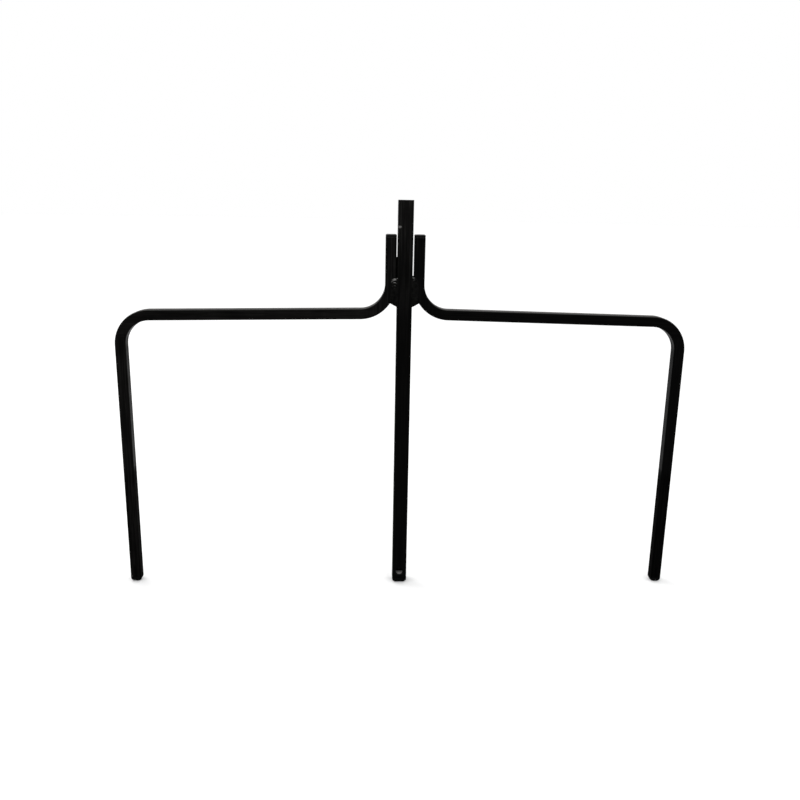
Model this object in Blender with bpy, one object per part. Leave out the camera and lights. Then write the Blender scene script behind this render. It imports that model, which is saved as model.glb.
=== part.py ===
"""Welded lower frame of a clothing rack: a square post with a bent square-tube leg on each side.

Metres, +Z up. The floor is z = 0, the post stands on the Z axis, and the legs reach out along +X and -X.
"""

import math

import bmesh
import bpy
from mathutils import Vector

# Post: 7/8 inch square tube, open at its top end.
POST_SIDE = 0.022225
POST_WALL = 0.0015
POST_CORNER = 0.0024
POST_TOP = 0.5882

# Legs: 5/8 inch square tube, bent twice on a 1 3/4 inch centre-line radius.
LEG_SIDE = 0.015875
LEG_WALL = 0.0012
LEG_CORNER = 0.0020
BEND_RADIUS = 0.04445
STUB_TOP = 0.5407
LEG_REACH = 0.4134
ARM_HEIGHT_AT_STUB = 0.4267
ARM_DROOP = math.radians(1.08)
BEND_STEPS = 10
CORNER_STEPS = 3

# Each leg: the direction it reaches along X, and the slot between the post and its stub.
SIDES = {
    "left": (-1, 0.0013),
    "right": (1, 0.0019),
}

# Cross hole through the post's front and rear walls, near the floor.
HOLE_RADIUS = 0.0052
HOLE_HEIGHT = 0.0194
HOLE_SIDES = 24

# Plastic inserts in the tube ends.
GAP = 0.0003
FOOT_HEAD = 0.0068
STUB_HEAD = 0.0042
FOOT_EDGE = 0.0034
STUB_EDGE = 0.0020
CORNER_GROWTH = 0.7
LEG_STEM = 0.0140
POST_STEM = 0.0048
STEM_WALL = 0.0016
RIB_HEIGHT = 0.0005
RIB_PITCH = 0.0028

# Weld beads in the corners between the post and the legs, with the height of each one's top end.
BEAD_BOTTOM = 0.4372
BEAD_BOTTOM_SLOPE = 0.50
BEAD_BULGE = 0.0015
BEAD_LAP = 0.0090
BEAD_LEAST_LAP = 0.0008
BEAD_ROOT = 0.0035
ROOT_PASSES = 6
BEAD_SECTIONS = 14
BEAD_TOPS = {
    "weld_left_front": 0.4785,
    "weld_right_front": 0.4800,
    "weld_left_rear": 0.5080,
    "weld_right_rear": 0.4810,
}


def clear_scene():
    for thing in list(bpy.data.objects):
        bpy.data.objects.remove(thing)


def make_material(name, colour, roughness, metallic):
    material = bpy.data.materials.new(name)
    material.use_nodes = True
    shader = material.node_tree.nodes["Principled BSDF"]
    shader.inputs["Base Color"].default_value = (*colour, 1.0)
    shader.inputs["Roughness"].default_value = roughness
    shader.inputs["Metallic"].default_value = metallic
    material.diffuse_color = (*colour, 1.0)
    return material


def finish_mesh(name, bm, material, smooth_angle=35.0):
    """Makes the named object from a closed bmesh, with its faces pointing out."""
    bmesh.ops.remove_doubles(bm, verts=bm.verts, dist=1e-6)
    bmesh.ops.recalc_face_normals(bm, faces=bm.faces)
    mesh = bpy.data.meshes.new(name)
    bm.to_mesh(mesh)
    bm.free()
    mesh.shade_smooth()
    mesh.set_sharp_from_angle(angle=math.radians(smooth_angle))
    mesh.materials.append(material)
    thing = bpy.data.objects.new(name, mesh)
    bpy.context.scene.collection.objects.link(thing)
    return thing


def rounded_square(side, radius, steps=CORNER_STEPS):
    """Outline of a square with round corners, as (across, depth) points."""
    half = side / 2 - radius
    points = []
    for corner, (sx, sy) in enumerate(((1, 1), (-1, 1), (-1, -1), (1, -1))):
        for step in range(steps + 1):
            angle = math.radians(90 * corner + 90 * step / steps)
            across = sx * half + radius * math.cos(angle)
            depth = sy * half + radius * math.sin(angle)
            points.append((across, depth))
    return points


def ring(bm, centre, across_axis, outline):
    """One loop of vertices: the outline's depth lies along Y, its width along across_axis."""
    depth_axis = Vector((0, 1, 0))
    return [bm.verts.new(centre + across_axis * u + depth_axis * v) for u, v in outline]


def bridge(bm, loop_a, loop_b):
    count = len(loop_a)
    for i in range(count):
        j = (i + 1) % count
        bm.faces.new((loop_a[i], loop_a[j], loop_b[j], loop_b[i]))


def sweep_tube(bm, stations, side, wall, corner):
    """A hollow square tube along stations of (centre, direction across the tube)."""
    outer = rounded_square(side, corner)
    inner = rounded_square(side - 2 * wall, corner - wall / 2)
    outer_rings = [ring(bm, centre, across, outer) for centre, across in stations]
    inner_rings = [ring(bm, centre, across, inner) for centre, across in stations]
    for rings in (outer_rings, inner_rings):
        for first, second in zip(rings, rings[1:]):
            bridge(bm, first, second)
    bridge(bm, outer_rings[0], inner_rings[0])
    bridge(bm, outer_rings[-1], inner_rings[-1])


def stub_centre(gap):
    """Distance from the post's axis to the stub's, across a slot of this width."""
    return POST_SIDE / 2 + gap + LEG_SIDE / 2


def arm_height(reach, gap):
    """Height of the arm's centre line at this distance from the post's axis."""
    return ARM_HEIGHT_AT_STUB - (reach - stub_centre(gap)) * math.tan(ARM_DROOP)


def bend_stations(centre, start_angle, end_angle, sign):
    """Stations round a bend's centre; angles are from +X, in the right-hand leg's plane."""
    stations = []
    for step in range(BEND_STEPS + 1):
        angle = start_angle + (end_angle - start_angle) * step / BEND_STEPS
        outward = Vector((sign * math.cos(angle), 0, math.sin(angle)))
        stations.append((centre + outward * BEND_RADIUS, outward))
    return stations


def bend_centres(gap):
    """Distance from the post's axis and height of the hub bend's and the outer bend's centres."""
    offset = BEND_RADIUS / math.cos(ARM_DROOP)
    hub_x = stub_centre(gap) + BEND_RADIUS
    hub = (hub_x, arm_height(hub_x, gap) + offset)
    outer_x = LEG_REACH - BEND_RADIUS
    outer = (outer_x, arm_height(outer_x, gap) - offset)
    return hub, outer


def leg_stations(sign, gap):
    """The leg's centre line: stub, hub bend, drooping arm, outer bend and leg."""
    (hub_x, hub_z), (outer_x, outer_z) = bend_centres(gap)
    stub_end = Vector((sign * stub_centre(gap), 0, STUB_TOP - STUB_HEAD - GAP))
    stations = [(stub_end, Vector((-sign, 0, 0)))]
    hub = Vector((sign * hub_x, 0, hub_z))
    stations += bend_stations(hub, math.pi, 1.5 * math.pi - ARM_DROOP, sign)
    outer = Vector((sign * outer_x, 0, outer_z))
    arc = bend_stations(outer, 0.5 * math.pi - ARM_DROOP, 0.0, sign)
    stations += [(centre, -across) for centre, across in arc]
    leg_end = Vector((sign * LEG_REACH, 0, FOOT_HEAD + GAP))
    stations.append((leg_end, Vector((-sign, 0, 0))))
    return stations


def make_leg_tube(name, sign, gap, material):
    bm = bmesh.new()
    sweep_tube(bm, leg_stations(sign, gap), LEG_SIDE, LEG_WALL, LEG_CORNER)
    return finish_mesh(name, bm, material)


def make_hole_cutter():
    bm = bmesh.new()
    bmesh.ops.create_cone(
        bm,
        cap_ends=True,
        segments=HOLE_SIDES,
        radius1=HOLE_RADIUS,
        radius2=HOLE_RADIUS,
        depth=POST_SIDE * 2,
    )
    mesh = bpy.data.meshes.new("hole_cutter")
    bm.to_mesh(mesh)
    bm.free()
    cutter = bpy.data.objects.new("hole_cutter", mesh)
    cutter.location = (0, 0, HOLE_HEIGHT)
    cutter.rotation_euler = (math.radians(90), 0, 0)
    cutter.hide_render = True
    cutter.display_type = "WIRE"
    bpy.context.scene.collection.objects.link(cutter)
    return cutter


def make_post_tube(name, material):
    bm = bmesh.new()
    across = Vector((1, 0, 0))
    bottom = Vector((0, 0, FOOT_HEAD + GAP))
    top = Vector((0, 0, POST_TOP))
    sweep_tube(bm, [(bottom, across), (top, across)], POST_SIDE, POST_WALL, POST_CORNER)
    post = finish_mesh(name, bm, material)
    cut = post.modifiers.new("cross_hole", "BOOLEAN")
    cut.operation = "DIFFERENCE"
    cut.solver = "EXACT"
    cut.object = make_hole_cutter()
    return post


def insert_profile(side, wall, corner, head, edge, stem, hollow=True):
    """Outline of a tube insert from its outer face inwards, as (height, width, corner radius).

    The outer face is rounded off by the radius edge, and its corners grow rounder with it. A
    hollow stem is an open cup; the other kind is closed across its inner end.
    """
    profile = []
    edge_steps = 4
    for step in range(edge_steps + 1):
        angle = math.radians(90 * step / edge_steps)
        inset = edge * (1 - math.sin(angle))
        height = edge * (1 - math.cos(angle))
        profile.append((height, side - 2 * inset, corner + CORNER_GROWTH * inset))
    profile.append((head, side, corner))
    ribbed = side - 2 * wall - 2 * GAP
    plain = ribbed - 2 * RIB_HEIGHT
    stem_corner = corner - wall / 2
    profile.append((head, plain, stem_corner))
    for rib in range(int(stem / RIB_PITCH)):
        base = head + RIB_PITCH * (rib + 0.4)
        profile.append((base, plain, stem_corner))
        profile.append((base, ribbed, stem_corner))
        profile.append((base + RIB_PITCH * 0.5, plain, stem_corner))
    profile.append((head + stem, plain, stem_corner))
    if not hollow:
        return profile
    bore = plain - 2 * STEM_WALL
    profile.append((head + stem, bore, stem_corner))
    profile.append((head * 0.9, bore, stem_corner))
    return profile


def make_insert(name, x, z, up, profile, material):
    """A closed insert whose outer face is at height z and whose stem points along up (+1 or -1)."""
    bm = bmesh.new()
    across = Vector((1, 0, 0))
    rings = []
    for height, width, corner in profile:
        centre = Vector((x, 0, z + up * height))
        rings.append(ring(bm, centre, across, rounded_square(width, corner, 2)))
    for first, second in zip(rings, rings[1:]):
        bridge(bm, first, second)
    bm.faces.new(rings[0])
    bm.faces.new(rings[-1])
    return finish_mesh(name, bm, material)


def stub_edge(height, gap):
    """Distance from the post's axis to the leg's side nearest the post, at this height."""
    hub_x, hub_z = bend_centres(gap)[0]
    outer_radius = BEND_RADIUS + LEG_SIDE / 2
    if height >= hub_z:
        return hub_x - outer_radius
    return hub_x - math.sqrt(outer_radius**2 - (hub_z - height) ** 2)


def bead_root_edge(height, tilt, gap):
    """Where a bead's tilted section, at this height beside the post, meets the leg."""
    edge = stub_edge(height, gap)
    for _ in range(ROOT_PASSES):
        edge = stub_edge(height + tilt * (edge - POST_SIDE / 2), gap)
    return edge - GAP


def bead_section(root_edge, swell):
    """Cross-section of a bead as (distance from the post's axis, distance in front of it)."""
    post_face = POST_SIDE / 2 + GAP
    stub_face = LEG_SIDE / 2 + GAP
    least_lap = root_edge + BEAD_LEAST_LAP
    lap_edge = least_lap + max(0.0, post_face + BEAD_LAP - least_lap) * swell
    section = [
        (root_edge, BEAD_ROOT),
        (post_face, BEAD_ROOT),
    ]
    corner_centre = POST_SIDE / 2 - POST_CORNER
    corner_radius = POST_CORNER + GAP
    for degrees in (0, 25, 50, 70):
        angle = math.radians(degrees)
        across = corner_centre + corner_radius * math.cos(angle)
        front = corner_centre + corner_radius * math.sin(angle)
        section.append((across, front))
    start_x, start_y = section[-1]
    bulge_steps = 6
    for step in range(1, bulge_steps):
        share = step / bulge_steps
        across = start_x + (lap_edge - start_x) * share
        front = start_y + (stub_face - start_y) * share
        front += BEAD_BULGE * (0.25 + 0.75 * swell) * math.sin(math.pi * share)
        section.append((across, front))
    section.append((lap_edge, stub_face))
    section.append((root_edge, stub_face))
    return section


def make_bead(name, sign, gap, facing, top, material):
    """A weld bead on the side sign * X of the post, facing the front (-1) or the rear (+1)."""
    bm = bmesh.new()
    rings = []
    post_face = POST_SIDE / 2
    for index in range(BEAD_SECTIONS + 1):
        share = index / BEAD_SECTIONS
        height = BEAD_BOTTOM + (top - BEAD_BOTTOM) * share
        swell = math.sqrt(max(0.0, 1 - max(0.0, share - 0.72) ** 2 / 0.28**2))
        loop = []
        tilt = BEAD_BOTTOM_SLOPE * (1 - share) ** 2
        root_edge = bead_root_edge(height, tilt, gap)
        for across, front in bead_section(root_edge, swell):
            z = height + tilt * (across - post_face)
            loop.append(bm.verts.new((sign * across, facing * front, z)))
        rings.append(loop)
    for first, second in zip(rings, rings[1:]):
        bridge(bm, first, second)
    bm.faces.new(rings[0])
    bm.faces.new(rings[-1])
    return finish_mesh(name, bm, material, 60.0)


def main():
    clear_scene()
    paint = make_material("black_powder_coat", (0.012, 0.012, 0.011), 0.38, 0.0)
    weld_paint = make_material("black_coated_weld", (0.014, 0.014, 0.013), 0.32, 0.0)
    plastic = make_material("black_plastic", (0.010, 0.010, 0.010), 0.55, 0.0)

    make_post_tube("post_tube", paint)
    post_insert = insert_profile(
        POST_SIDE, POST_WALL, POST_CORNER, FOOT_HEAD, FOOT_EDGE, POST_STEM, hollow=False
    )
    make_insert("post_foot_cap", 0.0, 0.0, 1, post_insert, plastic)

    leg_stock = (LEG_SIDE, LEG_WALL, LEG_CORNER)
    foot_insert = insert_profile(*leg_stock, FOOT_HEAD, FOOT_EDGE, LEG_STEM)
    stub_insert = insert_profile(*leg_stock, STUB_HEAD, STUB_EDGE, LEG_STEM)
    for side, (sign, gap) in SIDES.items():
        make_leg_tube(f"{side}_leg_tube", sign, gap, paint)
        make_insert(f"{side}_foot_cap", sign * LEG_REACH, 0.0, 1, foot_insert, plastic)
        stub_x = sign * stub_centre(gap)
        make_insert(f"{side}_stub_cap", stub_x, STUB_TOP, -1, stub_insert, plastic)
        for face, facing in (("front", -1), ("rear", 1)):
            name = f"weld_{side}_{face}"
            make_bead(name, sign, gap, facing, BEAD_TOPS[name], weld_paint)


main()
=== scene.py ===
"""Looks of the clothing rack's base frame: fine meshes, coated steel, moulded caps, studio and camera.

Metres, +Z up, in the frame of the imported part. The floor is z = 0 and the front is -Y.
"""

import math

import bmesh
import bpy
from mathutils import Matrix, Vector, noise


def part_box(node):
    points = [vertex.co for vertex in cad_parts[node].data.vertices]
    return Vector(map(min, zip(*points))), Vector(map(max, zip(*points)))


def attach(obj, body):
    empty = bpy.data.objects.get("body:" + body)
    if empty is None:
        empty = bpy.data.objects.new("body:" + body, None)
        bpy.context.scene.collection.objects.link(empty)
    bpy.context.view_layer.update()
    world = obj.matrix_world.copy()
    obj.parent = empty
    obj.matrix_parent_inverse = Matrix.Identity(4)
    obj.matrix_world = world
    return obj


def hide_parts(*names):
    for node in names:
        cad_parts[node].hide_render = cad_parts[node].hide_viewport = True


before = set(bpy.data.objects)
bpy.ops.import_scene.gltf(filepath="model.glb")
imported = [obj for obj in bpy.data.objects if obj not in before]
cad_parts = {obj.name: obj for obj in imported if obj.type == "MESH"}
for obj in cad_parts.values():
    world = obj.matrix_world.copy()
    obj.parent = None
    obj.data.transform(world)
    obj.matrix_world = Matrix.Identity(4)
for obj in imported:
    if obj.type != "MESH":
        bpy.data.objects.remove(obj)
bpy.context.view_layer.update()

# The two sides of the frame and the two faces that its beads are on, with their signs along X and Y.
SIDES = (("left", -1), ("right", 1))
FACES = (("front", -1), ("rear", 1))

# Shape of the tubes and of the hole across the post, as the part was designed.
BEND_RADIUS = 0.04445
ARM_HEIGHT_AT_STUB = 0.4267
ARM_DROOP = math.radians(1.08)
LEG_WALL = 0.0012
LEG_CORNER = 0.0020
POST_WALL = 0.0015
POST_CORNER = 0.0024
HOLE_RADIUS = 0.0052
HOLE_HEIGHT = 0.0194
HOLE_CHAMFER = 0.0004

# Fineness of the meshes.
CORNER_STEPS = 8
FLAT_STEPS = 6
BEND_STEPS = 44
STRAIGHT_STEPS = 14
END_ROUND = 0.00025
END_STEPS = 3
HOLE_SIDES = 64
CUTTER_PAST_WALL = 0.004
SHARP_ANGLE = 32.0
BEAD_SHARP_ANGLE = 70.0

# How a square tube deforms where it is bent. The bulge's centre and spread are shares of half its side.
INNER_DENT = 0.00038
OUTER_FLAT = 0.00022
SIDE_BULGE = 0.00016
BULGE_CENTRE = 0.45
BULGE_SPREAD = 0.9
BEND_RAMP = 0.18

# Moulded inserts. An edge is how far a head is rounded off, as (inwards, along the stem).
HEAD_FOOT = 0.0068
HEAD_STUB = 0.0042
FOOT_EDGE = (0.0040, 0.0058)
STUB_EDGE = (0.0020, 0.0020)
EDGE_STEPS = 8
CORNER_GROWTH = 0.7
LIP = 0.0002
STEM_LEG = 0.0140
STEM_POST = 0.0048
STEM_GAP = 0.0003
STEM_WALL = 0.0016
BORE_END = 0.9
RIB_HEIGHT = 0.0005
RIB_PITCH = 0.0028
RIB_START = 0.4
RIB_RINGS = ((0.0, False), (0.05, True), (0.15, True), (0.5, False))
GATE_RADIUS = 0.0016
GATE_DEPTH = 0.0003
GATE_RINGS = ((1.0, 0.8), (0.3, 1.0), (0.0, 1.2))

# Weld beads.
BEAD_BOTTOM = 0.4372
BEAD_BOTTOM_SLOPE = 0.50
BEAD_ROOT = 0.0035
BEAD_LAP = 0.0090
BEAD_LEAST_LAP = 0.0008
BEAD_BULGE = 0.00145
BEAD_LEAST_BULGE = 0.2
BEAD_SINK = 0.00012
BEAD_START_ANGLE = 62
BEAD_START_TURN = 10
BEAD_ROWS = 170
BEAD_COLUMNS = 28
RIPPLE_PITCH = 0.0044
RIPPLE_HEIGHT = 0.00062
RIPPLE_CURVE = 0.0050
RIPPLE_POWER = 0.7
RIPPLE_MIDDLE = 0.6
WANDER = 0.0005
WANDER_SCALE = 260
WANDER_SEEDS = (3.7, 5.1)
LUMP = 0.00012
LUMP_SCALES = (420, 200, 420)
LUMP_SEED = 7
CRATER_SHARE = 0.20
ROOT_PASSES = 6

# Finishes. A noise is (scale per metre, detail, roughness), a band holds the two values between which a
# mask rises, a gain holds what it rises from and to, a grey is (level, warmth) and a bump is
# (strength, depth).
MIDDLE_BAND = (0.3, 0.7)
FULL_BAND = (0.0, 1.0)

# Powder coat: painted shade makes its grey rise with height, and streaks and scuffs run lengthwise, as
# (along, across).
COAT_ROUGHNESS = 0.34
COAT_IOR = 1.075
COAT_WARMTH = 0.05
COAT_SHADE_HEIGHTS = (0.36, 0.66)
MOTTLE_NOISE = (27.0, 4.0, 0.6)
MOTTLE_GAIN = (0.75, 1.25)
STREAK_SCALES = (15.0, 560.0)
STREAK_DETAIL = (4.0, 0.65)
STREAK_BAND = (0.38, 0.68)
STREAK_GAIN = (0.45, 1.60)
CLEAR_OF_POST = (0.03, 0.07)
ARM_HEIGHTS = (0.37, 0.41)
# Painted shade darkens the tubes' rounded corners by the gain below; the same band also places the
# rubbed corners.
CORNER_BAND = (0.505, 0.56)
CORNER_SHADE_GAIN = (1.0, 0.1)
# Dust on faces that look up, whose lighter grey is also a painted highlight on the tops.
DUST_AND_HIGHLIGHT_NOISE = (1100.0, 5.0, 0.7)
DUST_AND_HIGHLIGHT_BAND = (0.20, 0.75)
DUST_AND_HIGHLIGHT_GAIN = (0.35, 1.0)
DUST_AND_HIGHLIGHT_FACING = (0.15, 0.80)
DUST_AND_HIGHLIGHT_SHARE = 0.80
DUST_AND_HIGHLIGHT_GREY = (0.100, 0.03)
DUST_AND_HIGHLIGHT_ROUGHNESS = 0.16
SCUFF_SCALES = (34.0, 1500.0)
SCUFF_DETAIL = (3.0, 0.7)
SCUFF_UPRIGHT_BAND = (0.66, 0.74)
SCUFF_LEVEL_BAND = (0.68, 0.76)
SCUFF_PATCH_NOISE = (19.0, 3.0, 0.6)
SCUFF_PATCH_BAND = (0.52, 0.66)
SCUFF_SHARE = 0.16
SCUFF_GREY = (0.020, 0.0)
SCUFF_ROUGHNESS = 0.12
SCUFF_BUMP = (0.10, 0.00003)
FLECK_NOISE = (620.0, 3.0, 0.60)
FLECK_BAND = (0.60, 0.72)
RUB_BAND = (1.0, 1.2)
RUB_SHARE = 0.35
RUB_GREY = (0.030, 0.03)
SMEAR_NOISE = (64.0, 4.0, 0.6)
SMEAR_BAND = (0.3, 0.72)
SMEAR_GAIN = (COAT_ROUGHNESS - 0.06, COAT_ROUGHNESS + 0.07)
WAVE_NOISE = (240.0, 2.0, 0.5)
WAVE_BUMP = (0.10, 0.0004)
PEEL_NOISE = (980.0, 2.0, 0.45)
PEEL_BUMP = (0.16, 0.00012)

# The dulled part of the finish, near the floor.
DULL_HEIGHT = 0.187
DULL_BAND = 0.030
DULL_ROUGHNESS = 0.95

# The chip in the post's coat: where it is across the front and down from the top, and its half sizes.
NICK_ACROSS = -0.757
NICK_DOWN = 0.0372
NICK_RADII = (0.0026, 0.0030, 0.0018)
NICK_EDGE_NOISE = (640.0, 4.0, 0.65)
NICK_EDGE_BAND = (0.25, 0.75)
NICK_EDGE_GAIN = (-0.45, 0.45)
NICK_RIM = (1.02, 0.86)
NICK_NOISE = (900.0, 3.0, 0.5)
NICK_DARK = (0.05, 0.02)
NICK_LIGHT = (0.13, 0.03)
NICK_ROUGHNESS = 0.2
NICK_BUMP = (0.7, -0.00012)

# Coat over weld metal. The painted highlight on its crest lies above a line that leans with X, near the
# post.
WELD_NOISE = (160.0, 4.0, 0.6)
WELD_DARK = (0.0004, 0.05)
WELD_LIGHT = (0.0036, 0.05)
WELD_HIGHLIGHT_LEAN = 0.35
WELD_HIGHLIGHT_HEIGHTS = (0.4675, 0.4780)
WELD_HIGHLIGHT_REACH = (0.0155, 0.0125)
WELD_HIGHLIGHT_FACING = (0.14, 0.46)
WELD_HIGHLIGHT_NOISE = (330.0, 4.0, 0.6)
WELD_HIGHLIGHT_BAND = (0.34, 0.54)
WELD_HIGHLIGHT_SHARE = 0.9
WELD_HIGHLIGHT_GREY = (0.170, 0.02)
PIT_NOISE = (760.0, 3.0, 0.6)
PIT_BAND = (0.60, 0.74)
PIT_SHARE = 0.7
PIT_GREY = (0.0004, 0.0)
PIT_BUMP = (0.35, -0.00015)
WELD_ROUGHNESS_NOISE = (300.0, 4.0, 0.6)
WELD_ROUGHNESS = (0.20, 0.36)
SPATTER_NOISE = (420.0, 3.0, 0.55)
SPATTER_BUMP = (0.45, 0.0004)
WELD_GRAIN_NOISE = (1500.0, 2.0, 0.5)
WELD_GRAIN_BUMP = (0.20, 0.00008)

# Moulded plastic: grit on the soles, a painted pool of light on the insert's top inside the post, seen
# through the cross hole, and dust with a painted highlight on the upper inserts.
PLASTIC_IOR = 1.13
PLASTIC_DARK = (0.0005, 0.0)
PLASTIC_LIGHT = (0.0020, 0.0)
FLOW_NOISE = (120.0, 3.0, 0.6)
FLOW_STRETCH = (1.0, 1.0, 3.0)
FLOW_DISTORTION = 1.5
SOLE_HEIGHTS = (0.0010, 0.0)
GRIT_NOISE = (900.0, 4.0, 0.7)
GRIT_BAND = (0.45, 0.7)
GRIT_SHARE = 0.30
GRIT_GREY = (0.030, 0.05)
GRIT_ROUGHNESS = 0.35
# Painted light on the post insert's top, seen through the cross hole, brighter towards the front.
HOLE_LIGHT_FACING = (0.7, 0.98)
HOLE_LIGHT_FROM = (0.0085, 0.0105)
HOLE_LIGHT_TO = (0.30, 0.25)
HOLE_LIGHT_DEPTHS = (0.010, -0.006)
HOLE_LIGHT_SHARE = 0.9
HOLE_LIGHT_GREY = (0.85, 0.02)
# Dust with a painted highlight on the upper inserts' tops.
UPPER_DUST_AND_HIGHLIGHT_FACING = (0.25, 0.85)
UPPER_DUST_AND_HIGHLIGHT_HEIGHTS = (0.40, 0.50)
UPPER_DUST_AND_HIGHLIGHT_SHARE = 0.7
UPPER_DUST_AND_HIGHLIGHT_GREY = (0.14, 0.02)
PLASTIC_ROUGHNESS_NOISE = (380.0, 3.0, 0.6)
PLASTIC_ROUGHNESS = (0.22, 0.36)
PLASTIC_GRAIN_NOISE = (2400.0, 2.0, 0.5)
PLASTIC_GRAIN_BUMP = (0.18, 0.00006)
SINK_NOISE = (260.0, 2.0, 0.5)
SINK_BUMP = (0.10, 0.0003)

# Grey of each coat at the floor and at the top, as painted shade that darkens it towards the floor; the
# left leg's coat is painted lighter than the right leg's, as if more lit.
POST_SHADE_GREYS = (0.0006, 0.0058)
LEFT_LEG_LIT_GREYS = (0.0028, 0.0036)
RIGHT_LEG_SHADED_GREYS = (0.0008, 0.0021)

# Floor.
FLOOR_NOISE = (2.2, 3.0, 0.5)
FLOOR_GREYS = ((0.90, 0.0), (0.93, 0.0))
FLOOR_ROUGHNESS = 0.85
FLOOR_SPECULAR = 0.1
FLOOR_RADIUS = 40.0
FLOOR_SIDES = 96

# Lights: the skylight is a wide sun, and each softbox is (place, target, side, watts).
SKYLIGHT_DIRECTION = (0.1, 0.2, -1.0)
SKYLIGHT_SPREAD = math.radians(120)
SKYLIGHT_STRENGTH = 0.45
KEY_SOFTBOX = ((-1.9, 1.4, 3.0), (0, 0, 0.2), 1.8, 30.0)
FILL_SOFTBOX = ((1.4, -1.8, 1.9), (0, 0, 0.3), 1.2, 6.0)
WORLD_STRENGTH = 1.0

# Camera: where it stands, where it points and its lens.
CAMERA_PLACE = Vector((-0.0473, -1.1350, 0.5749))
CAMERA_YAW = math.radians(2.214)
CAMERA_PITCH = math.radians(13.822)
CAMERA_ROLL = math.radians(1.065)
CAMERA_LENS = 34.84
CAMERA_SENSOR = 36.0
CAMERA_CLIP = (0.02, 100.0)


# ---------------------------------------------------------------- materials


class Nodes:
    """A small helper that adds nodes to a material's tree and links them."""

    def __init__(self, name):
        self.material = bpy.data.materials.new(name)
        self.material.use_nodes = True
        self.tree = self.material.node_tree
        self.shader = self.tree.nodes["Principled BSDF"]
        self.place = self.add("ShaderNodeTexCoord").outputs["Object"]

    def add(self, kind, settings=None, **inputs):
        made = self.tree.nodes.new(kind)
        for key, value in (settings or {}).items():
            setattr(made, key, value)
        for key, value in inputs.items():
            self.put(made.inputs[key.replace("_", " ")], value)
        return made

    def put(self, socket, value):
        if isinstance(value, bpy.types.NodeSocket):
            self.tree.links.new(value, socket)
        else:
            socket.default_value = value

    def math(self, operation, first, second=0.0, clamp=False):
        made = self.add("ShaderNodeMath", {"operation": operation, "use_clamp": clamp})
        self.put(made.inputs[0], first)
        self.put(made.inputs[1], second)
        return made.outputs[0]

    def times(self, first, second):
        return self.math("MULTIPLY", first, second)

    def vector_math(self, operation, first, second):
        made = self.add("ShaderNodeVectorMath", {"operation": operation})
        self.put(made.inputs[0], first)
        self.put(made.inputs[1], second)
        return made.outputs[0]

    def split(self, vector):
        made = self.add("ShaderNodeSeparateXYZ", Vector=vector)
        return made.outputs["X"], made.outputs["Y"], made.outputs["Z"]

    def noise(self, scale, detail, roughness, place=None, distortion=0.0):
        made = self.add("ShaderNodeTexNoise", Scale=scale, Detail=detail, Roughness=roughness)
        made.inputs["Distortion"].default_value = distortion
        self.put(made.inputs["Vector"], self.place if place is None else place)
        return made.outputs["Fac"]

    def ramp(self, value, low, high, out_low=0.0, out_high=1.0):
        made = self.add("ShaderNodeMapRange", {"interpolation_type": "SMOOTHSTEP"}, Value=value)
        made.inputs["From Min"].default_value = low
        made.inputs["From Max"].default_value = high
        made.inputs["To Min"].default_value = out_low
        made.inputs["To Max"].default_value = out_high
        return made.outputs["Result"]

    def mix(self, share, first, second):
        made = self.add("ShaderNodeMix", {"data_type": "RGBA"})
        self.put(made.inputs["Factor"], share)
        self.put(made.inputs[6], first)
        self.put(made.inputs[7], second)
        return made.outputs[2]

    def cover(self, base, mask, share, colour):
        """The base colour with a share of a grey laid over it where the mask is 1."""
        return self.mix(self.times(mask, share), base, grey(*colour))

    def stretched(self, x, y, z):
        made = self.add("ShaderNodeMapping", Vector=self.place)
        made.inputs["Scale"].default_value = (x, y, z)
        return made.outputs["Vector"]

    def lengthwise(self, scales, detail):
        """Noise drawn out along the upright tubes, and noise drawn out along the arms."""
        along, across = scales
        upright = self.noise(1.0, *detail, self.stretched(across, across, along))
        level = self.noise(1.0, *detail, self.stretched(along, across, across))
        return upright, level

    def bump(self, height, size, below=None):
        strength, distance = size
        made = self.add("ShaderNodeBump", Height=height, Strength=strength, Distance=distance)
        if below is not None:
            self.put(made.inputs["Normal"], below)
        return made.outputs["Normal"]

    def finish(self, base, rough, normal, ior):
        self.put(self.shader.inputs["Base Color"], base)
        self.put(self.shader.inputs["Roughness"], rough)
        self.put(self.shader.inputs["Normal"], normal)
        self.shader.inputs["IOR"].default_value = ior
        return self.material


def grey(level, warmth):
    return (level * (1 + warmth), level, level * (1 - warmth), 1.0)


def facing_up(nodes, low, high):
    """1 on surfaces that face up, 0 on walls and undersides."""
    normal = nodes.add("ShaderNodeNewGeometry").outputs["Normal"]
    return nodes.ramp(nodes.split(normal)[2], low, high)


def scaled(nodes, colour, factor):
    made = nodes.add("ShaderNodeVectorMath", {"operation": "SCALE"}, Scale=factor)
    nodes.put(made.inputs[0], colour)
    return made.outputs[0]


def corners(nodes):
    """1 along a tube's rounded corners, 0 on its flats."""
    pointy = nodes.add("ShaderNodeNewGeometry").outputs["Pointiness"]
    return nodes.ramp(pointy, *CORNER_BAND)


def scuffs(nodes):
    """Thin lengthwise handling marks, in patches."""
    upright, level = nodes.lengthwise(SCUFF_SCALES, SCUFF_DETAIL)
    upright = nodes.ramp(upright, *SCUFF_UPRIGHT_BAND)
    level = nodes.ramp(level, *SCUFF_LEVEL_BAND)
    patches = nodes.ramp(nodes.noise(*SCUFF_PATCH_NOISE), *SCUFF_PATCH_BAND)
    return nodes.math("MULTIPLY", nodes.math("MAXIMUM", upright, level), patches, True)


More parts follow.
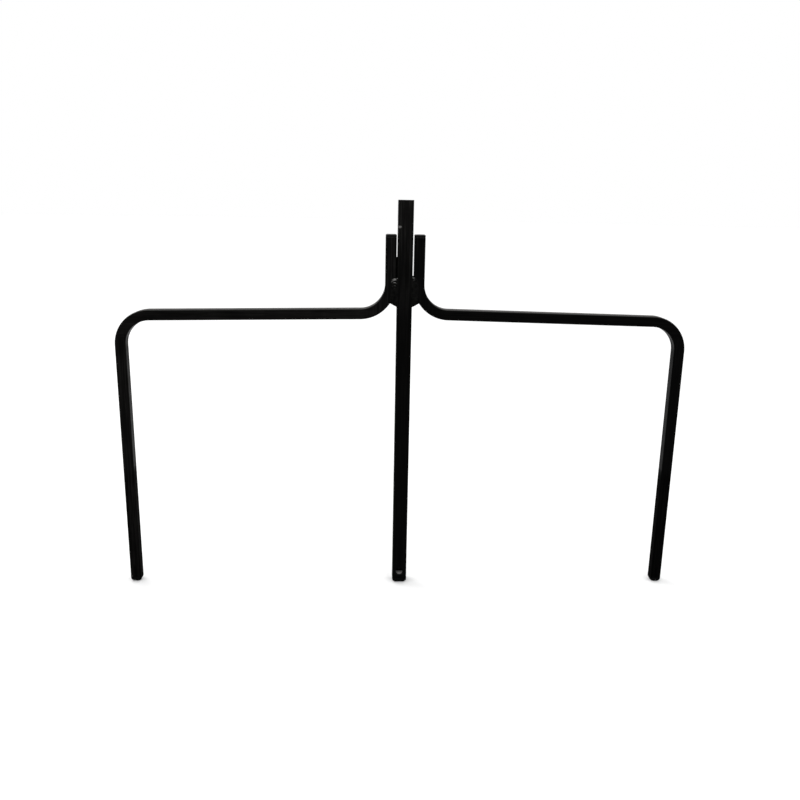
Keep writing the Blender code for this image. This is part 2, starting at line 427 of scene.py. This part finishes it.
def nick_mask(nodes, centre, radii):
    """1 inside a ragged chip in the coat, at a place on the surface."""
    shift = nodes.vector_math("SUBTRACT", nodes.place, centre)
    shrunk = nodes.vector_math("DIVIDE", shift, radii)
    length = nodes.add("ShaderNodeVectorMath", {"operation": "LENGTH"})
    nodes.put(length.inputs[0], shrunk)
    ragged = nodes.ramp(nodes.noise(*NICK_EDGE_NOISE), *NICK_EDGE_BAND, *NICK_EDGE_GAIN)
    distance = nodes.math("ADD", length.outputs["Value"], ragged)
    return nodes.ramp(distance, *NICK_RIM)


def brushed_streaks(nodes):
    """Faint streaks that run along the tube: level on the arms, upright on the post and legs."""
    upright, level = nodes.lengthwise(STREAK_SCALES, STREAK_DETAIL)
    x, _, z = nodes.split(nodes.place)
    clear_of_post = nodes.ramp(nodes.math("ABSOLUTE", x), *CLEAR_OF_POST)
    on_arm = nodes.times(clear_of_post, nodes.ramp(z, *ARM_HEIGHTS))
    elsewhere = nodes.math("SUBTRACT", 1.0, on_arm)
    both = nodes.math("ADD", nodes.times(upright, elsewhere), nodes.times(level, on_arm))
    return nodes.ramp(both, *STREAK_BAND)


def dulled_near_floor(nodes, rough, height):
    """The roughness, raised to DULL_ROUGHNESS below DULL_HEIGHT, where dirt has dulled the finish."""
    top = DULL_HEIGHT + DULL_BAND / 2
    bottom = DULL_HEIGHT - DULL_BAND / 2
    dull = nodes.ramp(height, top, bottom, 0.0, DULL_ROUGHNESS)
    return nodes.math("MAXIMUM", rough, dull, True)


def coated_steel(name, greys, dulled=False, nick=None):
    """Black powder coat: orange peel, streaks, dust with a painted highlight on top, painted shade on
    the rounded corners, scuffs and rubbed corners.

    The coat's grey runs with height, from the first of greys at the floor to the second at the top, as
    painted shade that darkens it towards the floor.
    """
    nodes = Nodes(name)
    height = nodes.split(nodes.place)[2]
    low_grey, high_grey = (grey(level, COAT_WARMTH) for level in greys)
    # Painted shade: the coat's grey darkens towards the floor and lightens towards the top.
    base = nodes.mix(nodes.ramp(height, *COAT_SHADE_HEIGHTS), low_grey, high_grey)
    edges = corners(nodes)
    mottle = nodes.ramp(nodes.noise(*MOTTLE_NOISE), *MIDDLE_BAND, *MOTTLE_GAIN)
    streaks = nodes.ramp(brushed_streaks(nodes), *FULL_BAND, *STREAK_GAIN)
    # Mottle and streaks of the coat, with painted shade darkening its rounded corners.
    film_and_corner_shade = nodes.times(nodes.times(mottle, streaks), nodes.ramp(edges, *FULL_BAND, *CORNER_SHADE_GAIN))
    base = scaled(nodes, base, film_and_corner_shade)
    # Dust and a painted highlight on the faces that look up.
    dust_and_highlight = nodes.ramp(nodes.noise(*DUST_AND_HIGHLIGHT_NOISE), *DUST_AND_HIGHLIGHT_BAND, *DUST_AND_HIGHLIGHT_GAIN)
    dust_and_highlight = nodes.times(facing_up(nodes, *DUST_AND_HIGHLIGHT_FACING), dust_and_highlight)
    base = nodes.cover(base, dust_and_highlight, DUST_AND_HIGHLIGHT_SHARE, DUST_AND_HIGHLIGHT_GREY)
    marks = scuffs(nodes)
    base = nodes.cover(base, marks, SCUFF_SHARE, SCUFF_GREY)
    flecks = nodes.ramp(nodes.noise(*FLECK_NOISE), *FLECK_BAND)
    rub = nodes.times(edges, nodes.times(flecks, nodes.ramp(mottle, *RUB_BAND)))
    base = nodes.cover(base, rub, RUB_SHARE, RUB_GREY)

    rough = nodes.ramp(nodes.noise(*SMEAR_NOISE), *SMEAR_BAND, *SMEAR_GAIN)
    rough = nodes.math("ADD", rough, nodes.times(marks, SCUFF_ROUGHNESS))
    rough = nodes.math("ADD", rough, nodes.times(dust_and_highlight, DUST_AND_HIGHLIGHT_ROUGHNESS), True)

    normal = nodes.bump(nodes.noise(*WAVE_NOISE), WAVE_BUMP)
    normal = nodes.bump(nodes.noise(*PEEL_NOISE), PEEL_BUMP, normal)
    normal = nodes.bump(marks, SCUFF_BUMP, normal)
    if nick is not None:
        chip = nick_mask(nodes, *nick)
        bare = nodes.mix(nodes.noise(*NICK_NOISE), grey(*NICK_DARK), grey(*NICK_LIGHT))
        base = nodes.mix(chip, base, bare)
        rough = nodes.math("ADD", rough, nodes.times(chip, NICK_ROUGHNESS), True)
        normal = nodes.bump(chip, NICK_BUMP, normal)
    if dulled:
        rough = dulled_near_floor(nodes, rough, height)
    return nodes.finish(base, rough, normal, COAT_IOR)


def coated_weld(name):
    """The same coat over weld metal: pits, fine spatter and a painted highlight on the crests where it
    faces up.
    """
    nodes = Nodes(name)
    mottle = nodes.ramp(nodes.noise(*WELD_NOISE), *MIDDLE_BAND)
    base = nodes.mix(mottle, grey(*WELD_DARK), grey(*WELD_LIGHT))
    x, _, z = nodes.split(nodes.place)
    # Painted highlight on the beads' upper crests near the post, where they face up.
    leaning = nodes.math("SUBTRACT", z, nodes.times(x, WELD_HIGHLIGHT_LEAN))
    highlight_place = nodes.times(nodes.ramp(leaning, *WELD_HIGHLIGHT_HEIGHTS), nodes.ramp(x, *WELD_HIGHLIGHT_REACH))
    weld_highlight = nodes.times(facing_up(nodes, *WELD_HIGHLIGHT_FACING), highlight_place)
    weld_highlight = nodes.times(weld_highlight, nodes.ramp(nodes.noise(*WELD_HIGHLIGHT_NOISE), *WELD_HIGHLIGHT_BAND))
    base = nodes.cover(base, weld_highlight, WELD_HIGHLIGHT_SHARE, WELD_HIGHLIGHT_GREY)
    pits = nodes.ramp(nodes.noise(*PIT_NOISE), *PIT_BAND)
    base = nodes.cover(base, pits, PIT_SHARE, PIT_GREY)
    rough = nodes.ramp(nodes.noise(*WELD_ROUGHNESS_NOISE), *MIDDLE_BAND, *WELD_ROUGHNESS)
    normal = nodes.bump(nodes.noise(*SPATTER_NOISE), SPATTER_BUMP)
    normal = nodes.bump(pits, PIT_BUMP, normal)
    normal = nodes.bump(nodes.noise(*WELD_GRAIN_NOISE), WELD_GRAIN_BUMP, normal)
    return nodes.finish(base, rough, normal, COAT_IOR)


def moulded_plastic(name):
    """Black polyethylene: faint flow marks, a fine grain, grit on the soles, a painted pool of light
    inside the post and dust with a painted highlight on the upper inserts.
    """
    nodes = Nodes(name)
    flow = nodes.noise(*FLOW_NOISE, nodes.stretched(*FLOW_STRETCH), FLOW_DISTORTION)
    base = nodes.mix(nodes.ramp(flow, *MIDDLE_BAND), grey(*PLASTIC_DARK), grey(*PLASTIC_LIGHT))
    _, depth, height = nodes.split(nodes.place)
    sole = nodes.ramp(height, *SOLE_HEIGHTS)
    grit = nodes.times(sole, nodes.ramp(nodes.noise(*GRIT_NOISE), *GRIT_BAND))
    base = nodes.cover(base, grit, GRIT_SHARE, GRIT_GREY)
    # Painted light on the insert's top inside the post, brighter towards the front, as if lit through
    # the cross hole.
    inside = nodes.times(nodes.ramp(height, *HOLE_LIGHT_FROM), nodes.ramp(height, *HOLE_LIGHT_TO))
    inside = nodes.times(inside, nodes.ramp(depth, *HOLE_LIGHT_DEPTHS))
    hole_light = nodes.times(facing_up(nodes, *HOLE_LIGHT_FACING), inside)
    base = nodes.cover(base, hole_light, HOLE_LIGHT_SHARE, HOLE_LIGHT_GREY)
    # Dust with a painted highlight on the tops of the upper inserts.
    top_dust_and_highlight = nodes.times(facing_up(nodes, *UPPER_DUST_AND_HIGHLIGHT_FACING), nodes.ramp(height, *UPPER_DUST_AND_HIGHLIGHT_HEIGHTS))
    base = nodes.cover(base, top_dust_and_highlight, UPPER_DUST_AND_HIGHLIGHT_SHARE, UPPER_DUST_AND_HIGHLIGHT_GREY)
    rough = nodes.ramp(nodes.noise(*PLASTIC_ROUGHNESS_NOISE), *MIDDLE_BAND, *PLASTIC_ROUGHNESS)
    rough = nodes.math("ADD", rough, nodes.times(grit, GRIT_ROUGHNESS), True)
    rough = dulled_near_floor(nodes, rough, height)
    normal = nodes.bump(nodes.noise(*PLASTIC_GRAIN_NOISE), PLASTIC_GRAIN_BUMP)
    normal = nodes.bump(nodes.noise(*SINK_NOISE), SINK_BUMP, normal)
    return nodes.finish(base, rough, normal, PLASTIC_IOR)


def pale_floor(name):
    nodes = Nodes(name)
    tone = nodes.ramp(nodes.noise(*FLOOR_NOISE), *MIDDLE_BAND)
    darker, lighter = (grey(*tint) for tint in FLOOR_GREYS)
    nodes.put(nodes.shader.inputs["Base Color"], nodes.mix(tone, darker, lighter))
    nodes.shader.inputs["Roughness"].default_value = FLOOR_ROUGHNESS
    nodes.shader.inputs["Specular IOR Level"].default_value = FLOOR_SPECULAR
    return nodes.material


# ---------------------------------------------------------------- mesh tools


def rounded_square(side, corner, flat_steps=1):
    """Outline of a square with round corners, as (across, depth) points, counter-clockwise."""
    half = side / 2 - corner
    points = []
    for index, (sx, sy) in enumerate(((1, 1), (-1, 1), (-1, -1), (1, -1))):
        for step in range(CORNER_STEPS + 1):
            angle = math.radians(90 * (index + step / CORNER_STEPS))
            points.append((sx * half + corner * math.cos(angle), sy * half + corner * math.sin(angle)))
        along = math.radians(90 * (index + 1))
        direction = (-math.sin(along), math.cos(along))
        start = points[-1]
        for step in range(1, flat_steps):
            share = 2 * half * step / flat_steps
            points.append((start[0] + direction[0] * share, start[1] + direction[1] * share))
    return points


def add_ring(bm, centre, across_axis, outline):
    depth_axis = Vector((0, 1, 0))
    return [bm.verts.new(centre + across_axis * u + depth_axis * v) for u, v in outline]


def bridge(bm, first, second):
    count = len(first)
    for i in range(count):
        j = (i + 1) % count
        bm.faces.new((first[i], first[j], second[j], second[i]))


def add_weighted_normals(piece):
    normals = piece.modifiers.new("weighted_normals", "WEIGHTED_NORMAL")
    normals.keep_sharp = True


def make_piece(name, bm, material, node, sharp=SHARP_ANGLE, weighted=True):
    """The finished object: shaded smooth, riding on the root body and standing for a CAD node."""
    bmesh.ops.recalc_face_normals(bm, faces=bm.faces)
    mesh = bpy.data.meshes.new(name)
    bm.to_mesh(mesh)
    bm.free()
    mesh.shade_smooth()
    mesh.set_sharp_from_angle(angle=math.radians(sharp))
    mesh.materials.append(material)
    piece = bpy.data.objects.new(name, mesh)
    bpy.context.scene.collection.objects.link(piece)
    if weighted:
        add_weighted_normals(piece)
    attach(piece, "root")
    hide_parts(node)
    return piece


# ---------------------------------------------------------------- tubes


def half_of(node):
    """Half the width across Y of a CAD node."""
    low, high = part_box(node)
    return (high[1] - low[1]) / 2


def distance_out(node):
    """How far a CAD node's middle is from the post's axis."""
    low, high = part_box(node)
    return abs(low[0] + high[0]) / 2


LEG_HALF = half_of("left_leg_tube")
POST_HALF = half_of("post_tube")
STUB_X = {side: distance_out(f"{side}_stub_cap") for side, _ in SIDES}
LEG_REACH = distance_out("right_foot_cap")
STUB_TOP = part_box("right_stub_cap")[1][2]


def arm_height(reach, side):
    return ARM_HEIGHT_AT_STUB - (reach - STUB_X[side]) * math.tan(ARM_DROOP)


def bend_centres(side):
    offset = BEND_RADIUS / math.cos(ARM_DROOP)
    hub_x = STUB_X[side] + BEND_RADIUS
    outer_x = LEG_REACH - BEND_RADIUS
    return (hub_x, arm_height(hub_x, side) + offset), (outer_x, arm_height(outer_x, side) - offset)


def straight(first, second, across, starts=True):
    """Stations from first towards second, which is left to the bend or the end that follows.

    A station is a place, the axis across the tube, how far it is deformed and its inner side. Without
    starts, first is left out too, where a bend has ended there.
    """
    begin = 0 if starts else 1
    places = [first.lerp(second, step / STRAIGHT_STEPS) for step in range(begin, STRAIGHT_STEPS)]
    return [(place, across, 0.0, 1) for place in places]


def bend(centre, start_angle, end_angle, sign, inner):
    """Stations round a bend, where the tube deforms and recovers over BEND_RAMP of the way."""
    stations = []
    for step in range(BEND_STEPS + 1):
        share = step / BEND_STEPS
        angle = start_angle + (end_angle - start_angle) * share
        outward = Vector((sign * math.cos(angle), 0, math.sin(angle)))
        ramp = min(1.0, share / BEND_RAMP, (1 - share) / BEND_RAMP)
        deformed = ramp * ramp * (3 - 2 * ramp)
        stations.append((centre + outward * BEND_RADIUS, outward * -inner, deformed, inner))
    return stations


def leg_stations(side, sign):
    low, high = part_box(f"{side}_leg_tube")
    (hub_x, hub_z), (outer_x, outer_z) = bend_centres(side)
    hub = bend(Vector((sign * hub_x, 0, hub_z)), math.pi, 1.5 * math.pi - ARM_DROOP, sign, -1)
    outer = bend(Vector((sign * outer_x, 0, outer_z)), 0.5 * math.pi - ARM_DROOP, 0.0, sign, 1)
    inward = Vector((-sign, 0, 0))
    stub_end = Vector((sign * STUB_X[side], 0, high[2]))
    leg_end = Vector((sign * LEG_REACH, 0, low[2]))
    stations = straight(stub_end, hub[0][0], inward) + hub
    stations += straight(hub[-1][0], outer[0][0], hub[-1][1], starts=False) + outer
    stations += straight(outer[-1][0], leg_end, inward, starts=False)
    stations.append((leg_end, inward, 0.0, 1))
    return stations


def deform(outline, half, amount, inner):
    """The tube's outline where it is bent: inner wall dished, sides swelled, outer wall flattened."""
    if amount == 0:
        return outline
    changed = []
    for u, v in outline:
        towards = inner * u / half
        middle = max(0.0, 1 - (v / half) ** 2)
        if towards > 0:
            towards -= INNER_DENT / half * amount * towards**3 * middle
        else:
            towards += OUTER_FLAT / half * amount * abs(towards) ** 3 * middle
        bulge = max(0.0, 1 - (towards - BULGE_CENTRE) ** 2 / BULGE_SPREAD)
        swell = 1 + SIDE_BULGE / half * amount * bulge
        changed.append((inner * towards * half, v * swell))
    return changed


def with_rounded_ends(stations, outline_at):
    """Rings of a tube, with a short lead-in at each end that rounds the saw-cut edges slightly."""
    leads = []
    for end in (0, -1):
        centre, across, _, _ = stations[end]
        towards = (stations[1 if end == 0 else -2][0] - centre).normalized()
        lead = []
        for step in range(END_STEPS):
            angle = math.radians(90 * step / END_STEPS)
            inset = END_ROUND * (1 - math.sin(angle))
            lead.append((centre + towards * END_ROUND * (1 - math.cos(angle)), across, inset))
        leads.append(lead)
    middle = list(stations)
    first, last = leads
    start = stations[0][0] + (stations[1][0] - stations[0][0]).normalized() * END_ROUND
    finish = stations[-1][0] + (stations[-2][0] - stations[-1][0]).normalized() * END_ROUND
    middle[0] = (start, *middle[0][1:])
    middle[-1] = (finish, *middle[-1][1:])
    rings = [(place, across, outline_at(0.0, 1, inset)) for place, across, inset in first]
    rings += [(place, across, outline_at(amount, inner, 0.0)) for place, across, amount, inner in middle]
    rings += [(place, across, outline_at(0.0, 1, inset)) for place, across, inset in reversed(last)]
    return rings


def tube_mesh(stations, half, wall, corner):
    bm = bmesh.new()

    def outer_outline(amount, inner, inset):
        outline = rounded_square(2 * (half - inset), corner, FLAT_STEPS)
        return deform(outline, half, amount, inner)

    def inner_outline(amount, inner, inset):
        outline = rounded_square(2 * (half - wall + inset), corner - wall / 2, FLAT_STEPS)
        return deform(outline, half, amount, inner)

    shells = []
    for outline_at in (outer_outline, inner_outline):
        rings = [add_ring(bm, *ring) for ring in with_rounded_ends(stations, outline_at)]
        for first, second in zip(rings, rings[1:]):
            bridge(bm, first, second)
        shells.append(rings)
    bridge(bm, shells[0][0], shells[1][0])
    bridge(bm, shells[0][-1], shells[1][-1])
    return bm


def make_leg(side, sign, material):
    bm = tube_mesh(leg_stations(side, sign), LEG_HALF, LEG_WALL, LEG_CORNER)
    make_piece(f"{side}_leg", bm, material, f"{side}_leg_tube")


def hole_cutter():
    """A drill-shaped cutter along Y, flared where it breaks through the post's front and rear."""
    reach = POST_HALF + CUTTER_PAST_WALL
    flare = HOLE_RADIUS + HOLE_CHAMFER
    wide = flare + CUTTER_PAST_WALL
    sections = [
        (-reach, wide),
        (-POST_HALF, flare),
        (-POST_HALF + HOLE_CHAMFER, HOLE_RADIUS),
        (POST_HALF - HOLE_CHAMFER, HOLE_RADIUS),
        (POST_HALF, flare),
        (reach, wide),
    ]
    bm = bmesh.new()
    rings = []
    for depth, radius in sections:
        loop = []
        for index in range(HOLE_SIDES):
            angle = 2 * math.pi * index / HOLE_SIDES
            place = (radius * math.cos(angle), depth, HOLE_HEIGHT + radius * math.sin(angle))
            loop.append(bm.verts.new(place))
        rings.append(loop)
    for first, second in zip(rings, rings[1:]):
        bridge(bm, first, second)
    bm.faces.new(rings[0])
    bm.faces.new(rings[-1])
    bmesh.ops.recalc_face_normals(bm, faces=bm.faces)
    mesh = bpy.data.meshes.new("hole_cutter")
    bm.to_mesh(mesh)
    bm.free()
    cutter = bpy.data.objects.new("hole_cutter", mesh)
    cutter.hide_render = True
    cutter.hide_viewport = True
    bpy.context.scene.collection.objects.link(cutter)
    return cutter


def make_post(material):
    low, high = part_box("post_tube")
    across = Vector((1, 0, 0))
    bottom = Vector((0, 0, low[2]))
    top = Vector((0, 0, high[2]))
    stations = straight(bottom, top, across) + [(top, across, 0.0, 1)]
    bm = tube_mesh(stations, POST_HALF, POST_WALL, POST_CORNER)
    post = make_piece("post", bm, material, "post_tube", weighted=False)
    cut = post.modifiers.new("cross_hole", "BOOLEAN")
    cut.operation = "DIFFERENCE"
    cut.solver = "EXACT"
    cut.object = hole_cutter()
    add_weighted_normals(post)


# ---------------------------------------------------------------- moulded inserts


def insert_profile(half, wall, corner, head, edge, stem, hollow):
    """Rings from the gate mark on the outer face, round the head and up the ribbed stem.

    A ring is its height along the stem, its width and its corner radius.
    """
    edge_in, edge_rise = edge
    side = 2 * half
    profile = []
    for depth, share in GATE_RINGS:
        profile.append((GATE_DEPTH * depth, 2 * GATE_RADIUS * share, GATE_RADIUS * share))
    for step in range(EDGE_STEPS + 1):
        angle = math.radians(90 * step / EDGE_STEPS)
        inset = edge_in * (1 - math.sin(angle))
        height = edge_rise * (1 - math.cos(angle))
        profile.append((height, side - 2 * inset, corner + CORNER_GROWTH * inset))
    profile += [(head - LIP, side, corner), (head, side - 2 * LIP, corner - LIP)]
    ribbed = side - 2 * wall - 2 * STEM_GAP
    plain = ribbed - 2 * RIB_HEIGHT
    stem_corner = corner - wall / 2
    profile.append((head, plain, stem_corner))
    for rib in range(int(stem / RIB_PITCH)):
        base = head + RIB_PITCH * (rib + RIB_START)
        for share, raised in RIB_RINGS:
            profile.append((base + RIB_PITCH * share, ribbed if raised else plain, stem_corner))
    end = head + stem
    profile += [(end - LIP, plain, stem_corner), (end, plain - 2 * LIP, stem_corner - LIP)]
    if hollow:
        bore = plain - 2 * STEM_WALL
        profile += [(end, bore, stem_corner), (head * BORE_END, bore, stem_corner)]
    return profile


def make_insert(name, x, z, up, profile, material, node):
    bm = bmesh.new()
    across = Vector((1, 0, 0))
    rings = []
    for height, width, corner in profile:
        centre = Vector((x, 0, z + up * height))
        rings.append(add_ring(bm, centre, across, rounded_square(width, corner)))
    for first, second in zip(rings, rings[1:]):
        bridge(bm, first, second)
    bm.faces.new(rings[0])
    bm.faces.new(rings[-1])
    make_piece(name, bm, material, node)


def make_inserts(plastic):
    post_stock = (POST_HALF, POST_WALL, POST_CORNER)
    leg_stock = (LEG_HALF, LEG_WALL, LEG_CORNER)
    profile = insert_profile(*post_stock, HEAD_FOOT, FOOT_EDGE, STEM_POST, hollow=False)
    make_insert("post_foot_insert", 0.0, 0.0, 1, profile, plastic, "post_foot_cap")
    foot = insert_profile(*leg_stock, HEAD_FOOT, FOOT_EDGE, STEM_LEG, hollow=True)
    stub = insert_profile(*leg_stock, HEAD_STUB, STUB_EDGE, STEM_LEG, hollow=True)
    for side, sign in SIDES:
        make_insert(f"{side}_foot_insert", sign * LEG_REACH, 0.0, 1, foot, plastic, f"{side}_foot_cap")
        stub_x = sign * STUB_X[side]
        make_insert(f"{side}_stub_insert", stub_x, STUB_TOP, -1, stub, plastic, f"{side}_stub_cap")


# ---------------------------------------------------------------- weld beads


def stub_edge(height, side):
    """Distance from the post's axis to the leg's side nearest the post, at a height."""
    (hub_x, hub_z), _ = bend_centres(side)
    if height >= hub_z:
        return STUB_X[side] - LEG_HALF
    outer_radius = BEND_RADIUS + LEG_HALF
    return hub_x - math.sqrt(outer_radius**2 - (hub_z - height) ** 2)


def root_edge(height, tilt, side):
    """The same for a row of the bead that tilts with distance from the post."""
    edge = stub_edge(height, side)
    for _ in range(ROOT_PASSES):
        edge = stub_edge(height + tilt * (edge - POST_HALF), side)
    return edge


def bead_column(share, height, edge, swell, wander):
    """A point of the bead's skin: share runs from the post's corner to the leg's face."""
    corner_centre = POST_HALF - POST_CORNER
    sunk = POST_CORNER - BEAD_SINK
    angle = math.radians(BEAD_START_ANGLE + BEAD_START_TURN * swell)
    start = (corner_centre + sunk * math.cos(angle), corner_centre + sunk * math.sin(angle))
    least_lap = edge + BEAD_LEAST_LAP
    lap = least_lap + max(0.0, POST_HALF + BEAD_LAP - least_lap) * swell + wander
    finish = (lap, LEG_HALF - BEAD_SINK)
    across = start[0] + (finish[0] - start[0]) * share
    front = start[1] + (finish[1] - start[1]) * share
    arch = math.sin(math.pi * share)
    off_middle = 2 * share - 1
    wave = math.pi * (height + RIPPLE_CURVE * off_middle**2) / RIPPLE_PITCH
    ripple = abs(math.cos(wave)) ** RIPPLE_POWER - RIPPLE_MIDDLE
    bulge = BEAD_BULGE * (BEAD_LEAST_BULGE + (1 - BEAD_LEAST_BULGE) * swell)
    front += arch * (bulge + RIPPLE_HEIGHT * ripple * swell)
    return across, front


def bead_swell(share):
    """1 along the bead, falling away round its upper end like a weld's crater."""
    past = max(0.0, share - (1 - CRATER_SHARE)) / CRATER_SHARE
    return math.sqrt(max(0.0, 1 - past**2))


def bead_wander(height, sign, facing):
    """How far the bead's edge strays at a height."""
    side_seed, face_seed = WANDER_SEEDS
    spot = Vector((height * WANDER_SCALE, sign * side_seed, facing * face_seed))
    return WANDER * noise.noise(spot)


def bead_lump(across, front, height, sign):
    """How far the bead's skin rises or sinks at a point."""
    scale_x, scale_y, scale_z = LUMP_SCALES
    spot = Vector((across * scale_x, front * scale_y, height * scale_z + sign * LUMP_SEED))
    return LUMP * noise.noise(spot)


def make_bead(side, face, sign, facing, material):
    node = f"weld_{side}_{face}"
    low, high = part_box(node)
    top = high[2]
    most_front = abs(low[1]) if facing < 0 else abs(high[1])
    bm = bmesh.new()
    rings = []
    for row in range(BEAD_ROWS + 1):
        share = row / BEAD_ROWS
        height = BEAD_BOTTOM + (top - BEAD_BOTTOM) * share
        tilt = BEAD_BOTTOM_SLOPE * (1 - share) ** 2
        edge = root_edge(height, tilt, side)
        swell = bead_swell(share)
        wander = bead_wander(height, sign, facing)
        loop_points = [(edge + BEAD_SINK, BEAD_ROOT), (POST_HALF - BEAD_SINK, BEAD_ROOT)]
        loop_points.append((POST_HALF - BEAD_SINK, POST_HALF - POST_CORNER))
        for column in range(BEAD_COLUMNS + 1):
            across, front = bead_column(column / BEAD_COLUMNS, height, edge, swell, wander)
            front += bead_lump(across, front, height, sign) * swell
            loop_points.append((across, min(most_front, front)))
        loop_points.append((edge + BEAD_SINK, LEG_HALF - BEAD_SINK * 3))
        loop = []
        for across, front in loop_points:
            z = height + tilt * (across - POST_HALF)
            loop.append(bm.verts.new((sign * across, facing * front, z)))
        rings.append(loop)
    for first, second in zip(rings, rings[1:]):
        bridge(bm, first, second)
    bm.faces.new(rings[0])
    bm.faces.new(rings[-1])
    name = f"bead_{side}_{face}"
    make_piece(name, bm, material, node, sharp=BEAD_SHARP_ANGLE, weighted=False)


# ---------------------------------------------------------------- studio


def make_floor(material):
    bm = bmesh.new()
    bmesh.ops.create_circle(bm, cap_ends=True, segments=FLOOR_SIDES, radius=FLOOR_RADIUS)
    mesh = bpy.data.meshes.new("floor")
    bm.to_mesh(mesh)
    bm.free()
    mesh.materials.append(material)
    floor = bpy.data.objects.new("floor", mesh)
    bpy.context.scene.collection.objects.link(floor)


def add_light(name, light, direction):
    """Puts a light in the scene, shining along a direction."""
    lamp = bpy.data.objects.new(name, light)
    lamp.rotation_mode = "QUATERNION"
    lamp.rotation_quaternion = Vector(direction).to_track_quat("-Z", "Y")
    bpy.context.scene.collection.objects.link(lamp)
    return lamp


def add_skylight():
    """A wide soft sun."""
    light = bpy.data.lights.new("skylight", "SUN")
    light.angle = SKYLIGHT_SPREAD
    light.energy = SKYLIGHT_STRENGTH
    add_light("skylight", light, SKYLIGHT_DIRECTION)


def add_softbox(name, place, target, side, power):
    light = bpy.data.lights.new(name, "AREA")
    light.shape = "RECTANGLE"
    light.size = side
    light.size_y = side
    light.energy = power
    lamp = add_light(name, light, Vector(target) - Vector(place))
    lamp.location = place
    lamp.visible_camera = False


def make_world():
    world = bpy.data.worlds.new("studio")
    world.use_nodes = True
    background = world.node_tree.nodes["Background"]
    background.inputs["Color"].default_value = grey(1.0, 0.0)
    background.inputs["Strength"].default_value = WORLD_STRENGTH
    bpy.context.scene.world = world


def make_camera():
    forward = Vector((
        math.sin(CAMERA_YAW) * math.cos(CAMERA_PITCH),
        math.cos(CAMERA_YAW) * math.cos(CAMERA_PITCH),
        -math.sin(CAMERA_PITCH),
    ))
    level = Vector((math.cos(CAMERA_YAW), -math.sin(CAMERA_YAW), 0.0))
    upright = level.cross(forward)
    right = level * math.cos(CAMERA_ROLL) + upright * math.sin(CAMERA_ROLL)
    up = upright * math.cos(CAMERA_ROLL) - level * math.sin(CAMERA_ROLL)
    data = bpy.data.cameras.new("camera")
    data.sensor_width = CAMERA_SENSOR
    data.lens = CAMERA_LENS
    data.clip_start, data.clip_end = CAMERA_CLIP
    camera = bpy.data.objects.new("camera", data)
    turn = Matrix((right, up, -forward)).transposed().to_4x4()
    camera.matrix_world = Matrix.Translation(CAMERA_PLACE) @ turn
    bpy.context.scene.collection.objects.link(camera)
    bpy.context.scene.camera = camera


def main():
    post_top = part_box("post_tube")[1][2]
    nick_centre = (POST_HALF * NICK_ACROSS, -POST_HALF, post_top - NICK_DOWN)
    post_coat = coated_steel("post_coat", POST_SHADE_GREYS, nick=(nick_centre, NICK_RADII))
    # The legs get lit and shaded copies of one coat: the left leg's is painted lighter than the right
    # leg's.
    leg_coats = {
        "left": coated_steel("left_leg_lit_coat", LEFT_LEG_LIT_GREYS, dulled=True),
        "right": coated_steel("right_leg_shaded_coat", RIGHT_LEG_SHADED_GREYS, dulled=True),
    }
    weld_coat = coated_weld("weld_coat")
    plastic = moulded_plastic("insert_plastic")

    make_camera()
    make_post(post_coat)
    for side, sign in SIDES:
        make_leg(side, sign, leg_coats[side])
        for face, facing in FACES:
            make_bead(side, face, sign, facing, weld_coat)
    make_inserts(plastic)

    make_floor(pale_floor("pale_floor"))
    make_world()
    add_skylight()
    add_softbox("key", *KEY_SOFTBOX)
    add_softbox("fill", *FILL_SOFTBOX)
    bpy.context.scene.view_settings.view_transform = "Standard"


main()
